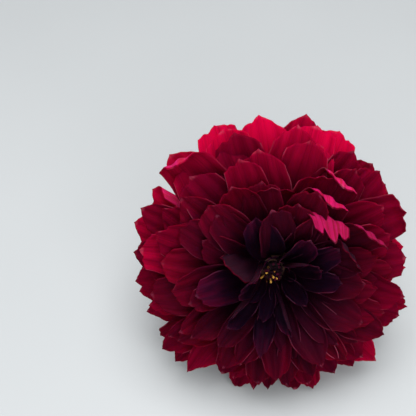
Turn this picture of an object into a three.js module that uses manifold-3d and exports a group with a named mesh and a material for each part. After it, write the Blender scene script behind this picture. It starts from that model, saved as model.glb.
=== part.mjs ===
// A cut dahlia bloom lying on a flat surface: a dense head of broad ray florets (petals) that fill it from
// a small open eye to the rim, two rings of bracts behind them, and the cut stem lying back to its end.
// Units are millimetres and +Z is up. The flower's face looks along -Y and a little upwards.

import * as THREE from 'three';
import { mergeVertices } from 'three/addons/utils/BufferGeometryUtils.js';
import Module from 'manifold-3d';

// ---- Driving dimensions -------------------------------------------------------------------------

// Where the head's base stands over the surface, and how far its face is turned up from level.
const HEAD_PLACE = new THREE.Vector3(0, -41.5, 58);
const FACE_TILT = THREE.MathUtils.degToRad(24);

// Petals follow the golden angle round the head. Rank 0 is the innermost petal and rank 1 the outermost.
const PETAL_COUNT = 144;
const GOLDEN_ANGLE = THREE.MathUtils.degToRad(137.508);
const FIRST_AZIMUTH = THREE.MathUtils.degToRad(-2);

// Blades are grids of these places along and across them. Hooked and folded blades need more of them.
const BLADE_THICKNESS = 0.82;
const BLADE_ROWS = [0, 0.3, 0.64, 1];
const BLADE_COLUMNS = [-1, -0.4, 0.4, 1];
const HOOKED_ROWS = [0, 0.35, 0.68, 0.78, 0.88, 1];
const SPARE_COLUMNS = [-1, 0, 1];
const FOLDED_COLUMNS = [-1, -0.65, -0.3, 0.3, 0.65, 1];

// A petal's shape by rank: millimetres and degrees. The rises are over the head's base plane, at the
// petal's root and at its tip, and the cup is how far each half bends up towards the head's axis.
const PETAL_STATIONS = [
  { rank: 0.00, length: 13, width: 8.5, riseRoot: 86, riseTip: 66, cup: 80 },
  { rank: 0.04, length: 22, width: 12.5, riseRoot: 80, riseTip: 44, cup: 66 },
  { rank: 0.06, length: 33, width: 15.5, riseRoot: 73, riseTip: 26, cup: 54 },
  { rank: 0.12, length: 41, width: 18.5, riseRoot: 66, riseTip: 12, cup: 44 },
  { rank: 0.25, length: 47, width: 20.5, riseRoot: 57, riseTip: 4, cup: 38 },
  { rank: 0.42, length: 51, width: 21.5, riseRoot: 46, riseTip: -4, cup: 32 },
  { rank: 0.60, length: 54, width: 22, riseRoot: 33, riseTip: -10, cup: 26 },
  { rank: 0.80, length: 56, width: 22, riseRoot: 17, riseTip: -17, cup: 22 },
  { rank: 1.00, length: 56, width: 21.5, riseRoot: 2, riseTip: -24, cup: 20 },
];

// The petals in three colour zones. Each zone grows from its own tier of the receptacle: its petals' roots
// run from the first radius and height to the last ones, and the tier is a low cone around them.
const ZONES = [
  {
    name: 'petals_inner', until: 18, columns: BLADE_COLUMNS, color: 0x1c0410,
    rootRadius: [6.0, 6.6], rootHeight: [14.0, 12.2],
    tier: { bottom: 11.4, bottomRadius: 7.4, top: 15.0, topRadius: 6.2 },
  },
  {
    name: 'petals_middle', until: 61, columns: BLADE_COLUMNS, color: 0x4a0516,
    rootRadius: [8.0, 10.4], rootHeight: [10.2, 7.6],
    tier: { bottom: 6.9, bottomRadius: 12.2, top: 11.1, topRadius: 9.2 },
  },
  {
    name: 'petals_outer', until: PETAL_COUNT, columns: SPARE_COLUMNS, color: 0x8c0a24,
    rootRadius: [11.6, 13.4], rootHeight: [5.8, 0.4],
    tier: { bottom: -0.8, bottomRadius: 15.0, top: 6.6, topRadius: 12.8 },
  },
];

// Petals that lie unlike their neighbours, with what is added to their traits, in degrees. A swing turns the
// petal round the head, the hook curls its end in towards the eye, and a fold turns one edge over. The size
// multiplies the length and the width, and the sway is a share of the length.
const TURNED_PETALS = {
  1: { size: 0.7 },
  3: { size: 0.8 },
  4: { swing: 33, roll: 35 },
  5: { swing: -4, size: 1.1, cup: 25 },
  6: { size: 0.7 },
  7: { swing: 10, size: 0.95 },
  8: { swing: 22, size: 1.05, cup: 20 },
  9: { swing: 2, size: 1.15, rise: 36 },
  10: { swing: -3, size: 0.93, roll: 50, cup: 30 },
  11: { swing: -8, size: 0.95, cup: 30 },
  12: { swing: 2, size: 0.98, cup: 45 },
  13: { swing: 19, size: 0.92 },
  14: { swing: -26, size: 1.15 },
  16: { swing: 2, size: 0.9, cup: 25 },
  17: { swing: 12 },
  18: { rise: 12 },
  19: { size: 1.2 },
  22: { swing: 4, size: 0.95, cup: -15, rise: 50, roll: -85 },
  25: { swing: -6, size: 0.95, cup: 15 },
  26: { cup: -20 },
  27: { swing: 20 },
  29: { swing: 4, size: 1.1, cup: -12, hook: 75, hookStart: 0.74 },
  30: { swing: -15, size: 0.9, cup: 10 },
  31: { cup: -15 },
  37: { swing: 22, size: 1.1, cup: -22, sway: -0.27, hook: 150, hookStart: 0.74 },
  48: { swing: -5, hook: 35, hookStart: 0.78 },
  50: { swing: -1, size: 1.15, cup: -12, hook: 75, hookStart: 0.78 },
  53: { swing: 4, hook: 60, hookStart: 0.78 },
  58: { swing: 12, size: 1.08, cup: -15, sway: -0.1, hook: 130, hookStart: 0.81 },
  66: { cup: -12, hook: 70, hookStart: 0.8 },
  79: { swing: 3, cup: -15, hook: 120, hookStart: 0.82 },
  84: { swing: -3, size: 1.1, cup: -10, hook: 50, hookStart: 0.85 },
  103: { size: 1.1, cup: -12, hook: 120, hookStart: 0.84 },
  111: { cup: -12, hook: 140, hookStart: 0.74 },
  124: { foldRight: 140 },
  132: { foldLeft: 120 },
};

// A hook's bend takes this share of the petal's length.
const HOOK_REACH = 0.14;

// The eye: disc florets spiral over a low dome, and a few ripe anthers stand on it.
const DISC = {
  base: 15.3, shoulder: 16.4, top: 17.4, radius: 4.2,
  floretCount: 13, floretLength: 2.2, floretMouth: 0.6, floretFoot: 0.45, floretSink: 0.8,
  floretRing: [2.7, 3.5], floretLean: [0.1, 0.3],
};
const ANTHERS = {
  base: 17.7, padRadius: 1.5, padHeight: 0.6, count: 7, length: 3, radius: 0.45, lean: 0.45, sink: 0.4,
};

// Behind the petals: a ring of papery bracts, then the green base with its leafy bracts bent back.
const PAPERY_BRACTS = {
  count: 8, length: 19, width: 13, riseRoot: -20, riseTip: -42, cup: 24,
  rootRadius: 11.2, rootHeight: -2.1, point: 0.2,
};
const LEAFY_BRACTS = {
  count: 6, length: 21, width: 8, riseRoot: -34, riseTip: -86, cup: 20,
  rootRadius: 7, rootHeight: -5.2, point: 0.35,
};
const BRACT_RING = { inner: 9, outer: 12.2, bottom: -3.1, top: -1.2 };
const GREEN_BASE = [[0, -9.6], [3.6, -9.6], [6.6, -7.4], [8.6, -4.4], [8.6, -1.2], [0, -1.2]];

// The cut stem runs straight back out of the green base, then sags until its end lies on the surface.
const STEM_RADIUS = 3;
const STEM_SIDES = 10;
const STEM_STEPS = 16;
const STEM_BENDS = [[0.5, -1, 39.6], [2, 32, 24], [3.6, 62, 10.2], [4.2, 80, 4.2], [4.4, 94, 2.85]];

// Neighbouring solids keep this much air between them.
const JOINT_GAP = 0.3;

// ---- Small helpers ------------------------------------------------------------------------------

const { degToRad, lerp, clamp } = THREE.MathUtils;
const wasm = await Module();
wasm.setup();

/** A repeatable value from -1 to 1 for petal `k` and trait number `trait`. */
function wobble(k, trait) {
  const value = Math.sin(k * 12.9898 + trait * 78.233) * 43758.5453;
  return 2 * (value - Math.floor(value)) - 1;
}

/** Eases from 0 at `start` to 1 at `end`. */
function ease(value, start, end) {
  const x = clamp((value - start) / (end - start), 0, 1);
  return x * x * (3 - 2 * x);
}

/** One column of the station table at a rank between 0 and 1. */
function atRank(rank, column) {
  const next = Math.max(1, PETAL_STATIONS.findIndex((station) => station.rank >= rank));
  const [a, b] = [PETAL_STATIONS[next - 1], PETAL_STATIONS[next]];
  return lerp(a[column], b[column], (rank - a.rank) / (b.rank - a.rank));
}

/** A three.js geometry as a manifold solid. */
function toSolid(geometry) {
  const bare = geometry.clone();
  bare.deleteAttribute('normal');
  bare.deleteAttribute('uv');
  const merged = mergeVertices(bare, 1e-4);
  const corners = [];
  for (let i = 0; i < merged.index.count; i += 3) {
    const [a, b, c] = [0, 1, 2].map((n) => merged.index.getX(i + n));
    if (a !== b && b !== c && c !== a) corners.push(a, b, c);
  }
  return new wasm.Manifold(new wasm.Mesh({
    numProp: 3,
    vertProperties: new Float32Array(merged.attributes.position.array),
    triVerts: new Uint32Array(corners),
  }));
}

/** Joins geometries into one manifold solid. */
function fuse(geometries) {
  return geometries.map(toSolid).reduce((whole, piece) => whole.add(piece));
}

/** The largest connected body of a solid as a three.js geometry: a cut can set small slivers free. */
function mainBody(solid) {
  const bodies = solid.decompose().sort((a, b) => b.volume() - a.volume());
  const mesh = bodies[0].getMesh();
  const geometry = new THREE.BufferGeometry();
  geometry.setAttribute('position', new THREE.Float32BufferAttribute(mesh.vertProperties, 3));
  geometry.setIndex(Array.from(mesh.triVerts));
  return geometry;
}

/** A body of revolution round the head's axis, from [radius, height] pairs that start and end on it. */
function turned(profile, sides) {
  const points = profile.map(([radius, height]) => new THREE.Vector2(radius, height));
  return new THREE.LatheGeometry(points, sides).rotateX(Math.PI / 2);
}

// ---- Blades: petals and bracts ------------------------------------------------------------------

// World up as the head's own frame sees it.
const UP_IN_HEAD = new THREE.Vector3(0, Math.cos(FACE_TILT), Math.sin(FACE_TILT));

/** Keeps a point of the head at least `clearance` over the surface it lies on. */
function restOnSurface(point, clearance) {
  const height = HEAD_PLACE.z + point.dot(UP_IN_HEAD);
  return height < clearance ? point.addScaledVector(UP_IN_HEAD, clearance - height) : point;
}

/** Half of a blade's cross-section, per half width: three arcs, of which the middle one makes the fold. */
function sectionArc(reach, cup, fold) {
  const foldStart = 0.3;
  const foldEnd = 0.65;
  const crease = cup + fold / (foldEnd - foldStart);
  const arcs = [[0, foldStart, cup], [foldStart, foldEnd, crease], [foldEnd, 1, cup]];
  let [turn, outward, upward] = [0, 0, 0];
  for (const [start, end, bend] of arcs) {
    const next = turn + bend * clamp(reach - start, 0, end - start);
    outward += (Math.sin(next) - Math.sin(turn)) / bend;
    upward += (Math.cos(turn) - Math.cos(next)) / bend;
    turn = next;
  }
  return [outward, upward];
}

/** The middle line at a place up the blade: an arc, a tighter one where the end hooks, and an arc again. */
function middleLine(blade, place) {
  const { riseRoot, riseTip, length, hookStart } = blade;
  const bend = riseTip - riseRoot + 0.0005;
  const hookBend = bend + blade.hook / HOOK_REACH + 0.0007;
  const hookEnd = hookStart + HOOK_REACH;
  const arcs = [[0, hookStart, bend], [hookStart, hookEnd, hookBend], [hookEnd, 2, bend]];
  let [rise, forward, height] = [riseRoot, 0, 0];
  for (const [start, end, rate] of arcs) {
    const next = rise + rate * clamp(place - start, start === 0 ? -1 : 0, end - start);
    forward += length * (Math.sin(next) - Math.sin(rise)) / rate;
    height += length * (Math.cos(rise) - Math.cos(next)) / rate;
    rise = next;
  }
  return { rise, forward, height };
}

/** The middle surface of a blade: along runs 0 to 1 from root to tip, across -1 to 1 between its edges. */
function bladeSurface(blade) {
  return (along, across) => {
    const reach = Math.abs(across);
    const side = Math.sign(across);
    const tipEdge = 1 - blade.point * reach ** 1.9;
    const s = along * (1 + (tipEdge - 1) * ease(along, 0.45, 1));
    const profile = 0.14 + 0.86 * Math.sin(Math.min(s / 0.62, 1) * Math.PI / 2) ** 1.6;
    const halfWidth = blade.width / 2 * profile * (1 - blade.narrowing * ease(s, 0.66, 1.06));
    const { rise, forward, height } = middleLine(blade, s);
    const fold = (side > 0 ? blade.foldRight : blade.foldLeft) * ease(s, 0.25, 0.7);
    const [outward, upward] = sectionArc(reach, blade.cup * (1.25 - 0.6 * s), fold);
    const turn = blade.roll + blade.twist * s;
    const lateral = halfWidth * (side * outward * Math.cos(turn) - upward * Math.sin(turn));
    const lift = halfWidth * (side * outward * Math.sin(turn) + upward * Math.cos(turn))
      + blade.curl * blade.length * ease(s, 0.55, 1.1) ** 2;
    const point = new THREE.Vector3(
      blade.rootRadius + forward - lift * Math.sin(rise),
      blade.sway * blade.length * s * s + lateral,
      blade.rootHeight + height + lift * Math.cos(rise),
    ).applyAxisAngle(new THREE.Vector3(0, 0, 1), blade.azimuth);
    return restOnSurface(point, blade.clearance);
  };
}

/** A closed blade: two faces over one grid of points, `thickness` apart, that meet in a thin rim. */
function bladeGeometry(surface, thickness, rows = BLADE_ROWS, columns = BLADE_COLUMNS) {
  const step = 0.01;
  const positions = [];
  const lastRow = rows.length - 1;
  const lastColumn = columns.length - 1;
  const addVertex = (point) => {
    positions.push(...point.toArray());
    return positions.length / 3 - 1;
  };
  const grid = rows.map((s, row) => columns.map((t, column) => {
    const middle = surface(s, t);
    if (row === 0 || row === lastRow || column === 0 || column === lastColumn) {
      const shared = addVertex(middle);
      return { front: shared, back: shared };
    }
    const along = surface(s + step, t).sub(surface(s - step, t));
    const across = surface(s, t + step).sub(surface(s, t - step));
    const offset = along.cross(across).setLength(thickness / 2);
    return { front: addVertex(middle.clone().add(offset)), back: addVertex(middle.clone().sub(offset)) };
  }));
  const triangles = [];
  for (let row = 0; row < lastRow; row += 1) {
    for (let column = 0; column < lastColumn; column += 1) {
      const [a, b] = [grid[row][column], grid[row + 1][column]];
      const [c, d] = [grid[row + 1][column + 1], grid[row][column + 1]];
      // The diagonal runs out of the grid's corners, so that no triangle has the rim on all three sides.
      const evenQuarter = (row < lastRow / 2) === (column < lastColumn / 2);
      const split = evenQuarter ? [a, b, c, a, c, d] : [b, c, d, b, d, a];
      triangles.push(...split.map((vertex) => vertex.front));
      triangles.push(...split.map((vertex) => vertex.back).reverse());
    }
  }
  const geometry = new THREE.BufferGeometry();
  geometry.setAttribute('position', new THREE.Float32BufferAttribute(positions, 3));
  geometry.setIndex(triangles);
  return geometry;
}

/** The traits of petal `k`, whose root sits on the tier of its zone. */
function petalTraits(k, zone, firstOfZone) {
  const rank = k / (PETAL_COUNT - 1);
  const inZone = (k - firstOfZone) / (zone.until - 1 - firstOfZone);
  const azimuth = k * GOLDEN_ANGLE + FIRST_AZIMUTH + degToRad(5) * wobble(k, 1);
  // The innermost petals are the least even ones.
  const uneven = 1 + 1.2 * Math.max(0, 1 - rank / 0.25);
  const above = Math.max(0, Math.sin(azimuth)) * rank;
  const lower = Math.max(0, -Math.sin(azimuth));
  const below = lower * rank;
  const corner = 2 * below * Math.abs(Math.cos(azimuth));
  const leftward = Math.max(0, -Math.cos(azimuth)) ** 2 * rank;
  const shoulder = Math.max(0, Math.cos(azimuth - degToRad(35))) ** 4 * rank;
  // The lowest petals are pressed forward by the surface.
  const press = degToRad(20) * below ** 2;
  const plain = {
    swing: 0, size: 1, rise: 0, cup: 0, roll: 0, sway: 0, hook: 0, hookStart: 0.6, foldLeft: 0, foldRight: 0,
  };
  const turned = { ...plain, ...TURNED_PETALS[k] };
  return {
    azimuth: azimuth + degToRad(turned.swing),
    rootRadius: lerp(...zone.rootRadius, inZone),
    rootHeight: lerp(...zone.rootHeight, inZone),
    length: atRank(rank, 'length') * turned.size
      * (1 + 0.05 * wobble(k, 2) + 0.05 * above + 0.1 * corner - 0.12 * shoulder - 0.05 * leftward),
    width: atRank(rank, 'width') * turned.size
      * (1 + 0.12 * wobble(k, 3) + 0.12 * above + 0.1 * shoulder - 0.1 * lower),
    riseRoot: degToRad(atRank(rank, 'riseRoot') + 3 * wobble(k, 4)) + 0.4 * press,
    riseTip: degToRad(atRank(rank, 'riseTip') + 8 * uneven * wobble(k, 5) + turned.rise) + press,
    hook: degToRad(8 * uneven * wobble(k, 11) + turned.hook),
    hookStart: turned.hookStart,
    cup: degToRad(atRank(rank, 'cup') + 13 * wobble(k, 6) + 42 * lower + turned.cup),
    roll: degToRad(10 * uneven * wobble(k, 7) + turned.roll),
    twist: degToRad(16) * uneven * wobble(k, 8),
    sway: 0.07 * wobble(k, 9) + turned.sway,
    curl: 0.06 * wobble(k, 10),
    foldLeft: degToRad(turned.foldLeft),
    foldRight: degToRad(turned.foldRight),
    point: 0.09 + 0.05 * lower + 0.04 * wobble(k, 13),
    narrowing: 0.38 - 0.16 * Math.sin(azimuth - degToRad(10)),
    clearance: 0.4 + 4 * (1 - rank),
    rows: turned.hook ? HOOKED_ROWS : BLADE_ROWS,
    columns: turned.foldLeft || turned.foldRight ? FOLDED_COLUMNS : zone.columns,
  };
}

/** One zone of petals on its tier of the receptacle; `swell` makes it thicker all over, as a cutter. */
function zoneSolid(zone, firstOfZone, swell = 0) {
  const { bottom, bottomRadius, top, topRadius } = zone.tier;
  const pieces = [turned([
    [0, bottom - swell], [bottomRadius + swell, bottom - swell],
    [topRadius + swell, top + swell], [0, top + swell],
  ], 24)];
  for (let k = firstOfZone; k < zone.until; k += 1) {
    const traits = petalTraits(k, zone, firstOfZone);
    traits.width += 2 * swell;
    traits.length += swell;
    const thickness = BLADE_THICKNESS + 2 * swell;
    pieces.push(bladeGeometry(bladeSurface(traits), thickness, traits.rows, traits.columns));
  }
  return fuse(pieces);
}

// ---- The parts of the flower --------------------------------------------------------------------

/** A named mesh in its own plain material. */
function part(name, geometry, color, roughness = 0.6) {
  const mesh = new THREE.Mesh(geometry, new THREE.MeshStandardMaterial({ color, roughness, metalness: 0 }));
  mesh.name = name;
  return mesh;
}

/** The three petal zones, each cut clear of the ones inside it where petals press on each other. */
function petals() {
  const meshes = [];
  let firstOfZone = 0;
  let inside = null;
  for (const zone of ZONES) {
    const whole = zoneSolid(zone, firstOfZone);
    meshes.push(part(zone.name, mainBody(inside ? whole.subtract(inside) : whole), zone.color));
    const cutter = zoneSolid(zone, firstOfZone, JOINT_GAP).add(whole);
    inside = inside ? inside.add(cutter) : cutter;
    firstOfZone = zone.until;
  }
  return meshes;
}

/** The dome of disc florets in the eye: short tubes that lean outwards, more so towards its edge. */
function discFlorets() {
  const { base, shoulder, top, radius, floretCount, floretLength, floretRing, floretLean } = DISC;
  const pieces = [turned([[0, base], [radius, base], [radius, shoulder], [radius / 2, top], [0, top]], 14)];
  for (let k = 0; k < floretCount; k += 1) {
    const spread = k / (floretCount - 1);
    pieces.push(new THREE.CylinderGeometry(DISC.floretMouth, DISC.floretFoot, floretLength, 5)
      .rotateX(Math.PI / 2)
      .translate(0, 0, floretLength / 2 - DISC.floretSink)
      .rotateY(lerp(...floretLean, spread))
      .translate(lerp(...floretRing, spread), 0, lerp(top, shoulder, spread))
      .rotateZ(k * GOLDEN_ANGLE));
  }
  return part('disc_florets', mainBody(fuse(pieces)), 0x240816);
}

/** Ripe anthers that stand on the dome's crown, on one small pad. */
function discAnthers() {
  const { base, padRadius, padHeight, count, length, radius, lean, sink } = ANTHERS;
  const padTop = base + padHeight;
  const pieces = [turned([[0, base], [padRadius, base], [padRadius, padTop], [0, padTop]], 10)];
  for (let k = 0; k < count; k += 1) {
    pieces.push(new THREE.CylinderGeometry(radius, radius, length, 5)
      .rotateX(Math.PI / 2)
      .translate(0, 0, length / 2)
      .rotateY(lean)
      .translate(padRadius * 0.6, 0, padTop - sink)
      .rotateZ(k * 2 * Math.PI / count));
  }
  return part('disc_anthers', mainBody(fuse(pieces)), 0xc8922a);
}

/** Blades of one ring of bracts, evenly spaced but not alike. */
function bractBlades(ring, thickness) {
  return Array.from({ length: ring.count }, (_, k) => bladeGeometry(bladeSurface({
    ...ring,
    azimuth: (k + 0.12 * wobble(k, 1)) * 2 * Math.PI / ring.count,
    length: ring.length * (1 + 0.08 * wobble(k, 2)),
    riseRoot: degToRad(ring.riseRoot),
    riseTip: degToRad(ring.riseTip + 6 * wobble(k, 5)),
    cup: degToRad(ring.cup),
    roll: degToRad(5) * wobble(k, 7),
    twist: degToRad(8) * wobble(k, 8),
    sway: 0.05 * wobble(k, 9),
    curl: 0,
    hook: 0,
    hookStart: 0.6,
    narrowing: 0.42,
    foldLeft: 0,
    foldRight: 0,
    clearance: thickness,
  }), thickness));
}

/** The ring of papery bracts that cups the outermost petals. */
function paperyBracts() {
  const { inner, outer, bottom, top } = BRACT_RING;
  const ring = turned([[inner, bottom], [outer, bottom], [outer, top], [inner, top], [inner, bottom]], 24);
  return part('bracts_papery', mainBody(fuse([ring, ...bractBlades(PAPERY_BRACTS, 0.7)])), 0x8a7a4e);
}

/** The green base of the head with its leafy bracts. */
function greenBase() {
  const body = mainBody(fuse([turned(GREEN_BASE, 20), ...bractBlades(LEAFY_BRACTS, 1)]));
  return part('base_with_leafy_bracts', body, 0x4c6a2a);
}

/** The stem, from just behind the green base to its cut end. */
function stem() {
  const backwards = new THREE.Vector3(0, Math.cos(FACE_TILT), -Math.sin(FACE_TILT));
  const start = HEAD_PLACE.clone().addScaledVector(backwards, JOINT_GAP - GREEN_BASE[0][1]);
  const path = new THREE.CatmullRomCurve3([start, ...STEM_BENDS.map((bend) => new THREE.Vector3(...bend))]);
  const section = new THREE.Shape().absarc(0, 0, STEM_RADIUS, 0, 2 * Math.PI);
  const geometry = new THREE.ExtrudeGeometry(section, {
    extrudePath: path, steps: STEM_STEPS, curveSegments: STEM_SIDES / 2,
  });
  return part('stem', mainBody(toSolid(geometry)), 0x56702f);
}

const head = new THREE.Group();
head.position.copy(HEAD_PLACE);
head.rotation.x = Math.PI / 2 - FACE_TILT;
head.add(...petals(), discFlorets(), discAnthers(), paperyBracts(), greenBase());

const flower = new THREE.Group();
flower.add(head, stem());

export default flower;
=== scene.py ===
# %% [markdown]
# A cut dahlia bloom lies on its lower petals and on the end of its stem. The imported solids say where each
# part is and how big it is. Blender keeps those places and grows the fine parts over them: thin petals
# with veins and notched tips, bracts, the small florets of the eye, and a ribbed stem.

# %% Load the frame
from math import cos, floor, pi, radians, sin

import bmesh
import bpy
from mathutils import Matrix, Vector


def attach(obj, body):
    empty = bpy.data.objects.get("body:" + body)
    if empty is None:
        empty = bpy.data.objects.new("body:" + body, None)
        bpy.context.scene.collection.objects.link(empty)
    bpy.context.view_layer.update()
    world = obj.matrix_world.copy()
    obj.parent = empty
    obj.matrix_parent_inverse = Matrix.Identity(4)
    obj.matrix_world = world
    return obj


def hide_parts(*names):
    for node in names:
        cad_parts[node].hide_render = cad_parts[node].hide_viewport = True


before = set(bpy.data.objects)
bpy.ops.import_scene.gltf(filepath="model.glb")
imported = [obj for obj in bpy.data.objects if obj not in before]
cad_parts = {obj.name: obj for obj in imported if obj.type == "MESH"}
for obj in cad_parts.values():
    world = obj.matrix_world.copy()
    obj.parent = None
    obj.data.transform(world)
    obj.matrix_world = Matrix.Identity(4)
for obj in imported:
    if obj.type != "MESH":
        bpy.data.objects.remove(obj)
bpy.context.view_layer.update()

MM = 0.001

# %% [markdown]
# A dahlia sets its petals one after another, each turned by the golden angle from the last, so that no
# petal hides the one before it. The rank runs from 0 for the youngest petal at the eye to 1 for the oldest
# at the rim, and every size of a petal follows from its rank. The table gives the sizes at a few ranks,
# with straight lines between them. It is the same table that the solid petals use.

# %% The petals' driving sizes
PETAL_COUNT = 144
GOLDEN_ANGLE = radians(137.508)
FIRST_AZIMUTH = radians(-2)
FACE_TILT = radians(24)
HEAD_PLACE = Vector((0, -41.5, 58)) * MM

STATION_COLUMNS = ("rank", "length", "width", "rise_root", "rise_tip", "cup")
STATIONS = (
    (0.00, 13, 8.5, 86, 66, 80),
    (0.04, 22, 12.5, 80, 44, 66),
    (0.06, 33, 15.5, 73, 26, 54),
    (0.12, 41, 18.5, 66, 12, 44),
    (0.25, 47, 20.5, 57, 4, 38),
    (0.42, 51, 21.5, 46, -4, 32),
    (0.60, 54, 22, 33, -10, 26),
    (0.80, 56, 22, 17, -17, 22),
    (1.00, 56, 21.5, 2, -24, 20),
)

# Each zone's petals run from the first root radius and height to the last ones.
ZONES = {
    "petals_inner": dict(first=0, until=18, root_radius=(6.0, 6.6), root_height=(14.0, 12.2)),
    "petals_middle": dict(first=18, until=61, root_radius=(8.0, 10.4), root_height=(10.2, 7.6)),
    "petals_outer": dict(first=61, until=144, root_radius=(11.6, 13.4), root_height=(5.8, 0.4)),
}
print(PETAL_COUNT, "petals, the longest", max(s[1] for s in STATIONS), "mm before they vary")

# %% [markdown]
# A rule alone makes every petal lie like the next. On a real bloom some swing aside, curl their end in or
# fold an edge over and show their paler back, so a short list names those by their number and says how they
# are turned. All the others only wobble a little round the rule.

# %% Petals that lie unlike their neighbours
# Angles are in degrees, and they are added to the petal's own. A swing turns the petal round the head, a
# rise lifts its tip, a roll leans it over, the hook curls its end in from hook_start on, and a fold turns one
# edge over. The size multiplies length and width, the sway and the notch are shares of the length, and the
# redness moves the colour towards crimson. A seed of its own settles where the lobes of the end lie.
UNTURNED = dict(size=1, swing=0, cup=0, rise=0, roll=0, sway=0, hook=0, hook_start=0.6, notch=0.02,
                fold_left=0, fold_right=0, redness=0)
TURNED_PETALS = {
    1: dict(size=0.7),
    3: dict(size=0.8),
    4: dict(swing=33, roll=35),
    5: dict(swing=-4, size=1.1, cup=25),
    6: dict(size=0.7),
    7: dict(swing=10, size=0.95),
    8: dict(swing=22, size=1.05, cup=20),
    9: dict(swing=2, size=1.15, rise=36),
    10: dict(swing=-3, size=0.93, roll=50, cup=30),
    11: dict(swing=-8, size=0.95, cup=30),
    12: dict(swing=2, size=0.98, cup=45),
    13: dict(swing=19, size=0.92),
    14: dict(swing=-26, size=1.15),
    16: dict(swing=2, size=0.9, cup=25),
    17: dict(swing=12, redness=0.08),
    18: dict(rise=12),
    19: dict(size=1.2, redness=-0.05),
    22: dict(swing=4, size=0.95, cup=-15, rise=50, roll=-85, redness=-0.03),
    25: dict(swing=-6, size=0.95, cup=15),
    26: dict(cup=-20),
    27: dict(swing=20),
    29: dict(swing=4, size=1.1, cup=-12, hook=75, hook_start=0.74),
    30: dict(swing=-15, size=0.9, cup=10),
    31: dict(cup=-15),
    37: dict(swing=22, size=1.1, cup=-22, sway=-0.27, hook=150, hook_start=0.74, notch=0.085, seed=0.495),
    41: dict(redness=0.1),
    48: dict(swing=-5, hook=35, hook_start=0.78),
    50: dict(swing=-1, size=1.15, cup=-12, hook=75, hook_start=0.78),
    53: dict(swing=4, hook=60, hook_start=0.78),
    58: dict(swing=12, size=1.08, cup=-15, sway=-0.1, hook=130, hook_start=0.81),
    66: dict(cup=-12, hook=70, hook_start=0.8),
    79: dict(swing=3, cup=-15, hook=120, hook_start=0.82),
    84: dict(swing=-3, size=1.1, cup=-10, hook=50, hook_start=0.85),
    96: dict(redness=0.25),
    103: dict(size=1.1, cup=-12, hook=120, hook_start=0.84),
    111: dict(cup=-12, hook=140, hook_start=0.74),
    124: dict(fold_right=140),
    132: dict(fold_left=120),
}
print(len(TURNED_PETALS), "petals are turned by hand")

# %% [markdown]
# The traits of one petal are its sizes at its rank, a repeatable wobble, and what its side of the head does
# to it. The head's weight presses the low petals, so they cup and rise. Those at the lower corners are long,
# and those at the upper right are short and broad. The colour carries painted light and shade by side: it is
# darker on the lower, left and upper-right sides, and lighter at the lower corners and towards the upper
# left.

# %% The traits of one petal
# Any large uneven numbers scatter the wobble well.
HASH_OF_NUMBER, HASH_OF_TRAIT, HASH_SCALE = 12.9898, 78.233, 43758.5453
UNEVEN_UNTIL = 0.25
SHOULDER_AZIMUTH = radians(35)
# The side towards which petals get painted light in their colour, the upper left.
LIT_SIDE_AZIMUTH = radians(120)
WEIGHT_LIFT = radians(20)


def wobble(k, trait):
    """A repeatable value from -1 to 1 for petal k and trait number trait."""
    value = sin(k * HASH_OF_NUMBER + trait * HASH_OF_TRAIT) * HASH_SCALE
    return 2 * (value - floor(value)) - 1


def lerp(pair, share):
    return pair[0] + (pair[1] - pair[0]) * share


def at_rank(rank, column):
    """One column of the station table at a rank between 0 and 1."""
    c = STATION_COLUMNS.index(column)
    for a, b in zip(STATIONS, STATIONS[1:]):
        if rank <= b[0]:
            return lerp((a[c], b[c]), (rank - a[0]) / (b[0] - a[0]))
    return STATIONS[-1][c]


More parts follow.
